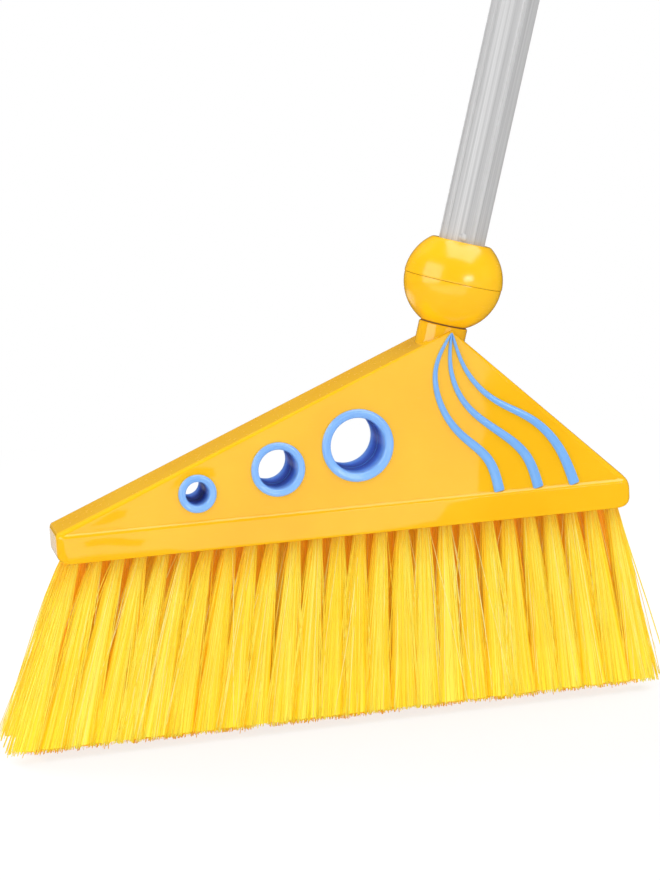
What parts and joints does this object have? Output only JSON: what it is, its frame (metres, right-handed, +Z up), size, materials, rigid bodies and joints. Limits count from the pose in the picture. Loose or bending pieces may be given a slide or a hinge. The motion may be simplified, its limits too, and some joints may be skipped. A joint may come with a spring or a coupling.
{
  "type": "lobby broom",
  "caption": "Upright broom with a wedge-shaped yellow plastic head, through-holes with blue rims, flared bristles and a leaning aluminium tube handle that unscrews.",
  "frame": {"origin": "middle of the sweeping edge, under the middle of the hood, at the bristle tips", "axes": "+X along the hood towards the side that the handle leans to, +Y from the pictured front to the rear, +Z up from the sweeping edge"},
  "size_m": [0.4556, 0.047, 0.9738],
  "materials": {
    "yellow_gloss": "gloss",
    "block_yellow": "satin",
    "bristle": "satin",
    "blue_gloss": "gloss",
    "screw_steel": "satin",
    "anchor_wire": "satin",
    "washer_rubber": "matte",
    "coupling_plastic": "satin",
    "tube_aluminium": "satin"
  },
  "bodies": {
    "head": {"hood": "yellow_gloss", "tuft_block": "block_yellow", "block_screws": "screw_steel", "front_tufts": "bristle", "middle_tufts": "bristle", "rear_tufts": "bristle", "tuft_anchors": "anchor_wire", "front_small_eyelet": "blue_gloss", "rear_small_eyelet": "blue_gloss", "front_medium_eyelet": "blue_gloss", "rear_medium_eyelet": "blue_gloss", "front_large_eyelet": "blue_gloss", "rear_large_eyelet": "blue_gloss", "front_waves": "blue_gloss", "rear_waves": "blue_gloss"},
    "washer": {"neck_washer": "washer_rubber"},
    "handle": {"threaded_coupling": "coupling_plastic", "ball_upper_half": "yellow_gloss", "ball_lower_half": "yellow_gloss", "handle_tube": "tube_aluminium", "tube_rivet": "tube_aluminium", "hanging_cap": "yellow_gloss"}
  },
  "joints": [
    {"name": "thread_travel", "type": "slide", "parent": "head", "child": "washer", "axis": [0.2723, 0, 0.9622], "range_m": [0, 0.025]},
    {"name": "handle_turn", "type": "hinge", "parent": "washer", "child": "handle", "pos_m": [0.05887, 0, 0.20509], "axis": [0.2723, 0, 0.9622], "range_deg": [0, 1800]}
  ],
  "couplings": [
    {"joint": "handle_turn", "follows": "thread_travel", "rad_per_m": 1256.6}
  ]
}
